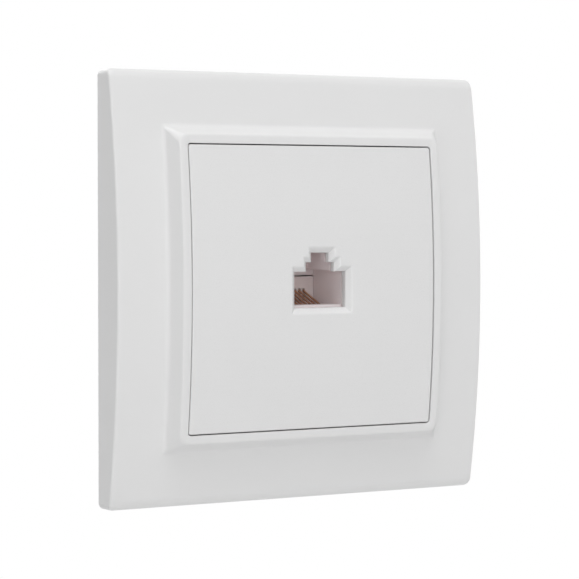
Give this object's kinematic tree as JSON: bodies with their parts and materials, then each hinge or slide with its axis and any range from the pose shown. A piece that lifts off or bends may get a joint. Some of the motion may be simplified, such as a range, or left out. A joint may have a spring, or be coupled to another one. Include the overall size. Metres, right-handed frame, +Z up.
{
  "type": "ethernet wall socket",
  "caption": "Flush-mounted square ethernet wall socket: bulging white cover frame with a raised rim, centre plate with one stepped jack port, steel support plate and rear terminals.",
  "frame": {"origin": "middle of the cover frame on the wall's surface, in the plane of the support plate's folded rim", "axes": "-Y out of the wall towards the room, +Z up, +X to the right as seen from the room"},
  "size_m": [0.084, 0.0437, 0.084],
  "materials": {
    "frame_plastic": "satin",
    "plate_plastic": "satin",
    "zinc_steel": "zinc plated",
    "carrier_plastic": "fine matt",
    "screw_steel": "zinc plated",
    "jack_plastic": "satin",
    "insert_plastic": "satin",
    "gold_wire": "gold plated",
    "board_laminate": "solder mask",
    "block_plastic": "satin",
    "terminal_bronze": "tin plated",
    "cap_plastic": "satin"
  },
  "bodies": {
    "root": {"cover_frame": "frame_plastic", "centre_plate": "plate_plastic", "support_plate": "zinc_steel", "module_carrier": "carrier_plastic", "carrier_screws": "screw_steel", "jack_housing": "jack_plastic", "contact_carrier": "insert_plastic", "contact_1": "gold_wire", "contact_2": "gold_wire", "contact_3": "gold_wire", "contact_4": "gold_wire", "contact_5": "gold_wire", "contact_6": "gold_wire", "contact_7": "gold_wire", "contact_8": "gold_wire", "circuit_board": "board_laminate", "terminal_block": "block_plastic", "terminal_1": "terminal_bronze", "terminal_2": "terminal_bronze", "terminal_3": "terminal_bronze", "terminal_4": "terminal_bronze", "terminal_5": "terminal_bronze", "terminal_6": "terminal_bronze", "terminal_7": "terminal_bronze", "terminal_8": "terminal_bronze", "wire_cap": "cap_plastic"}
  },
  "joints": []
}
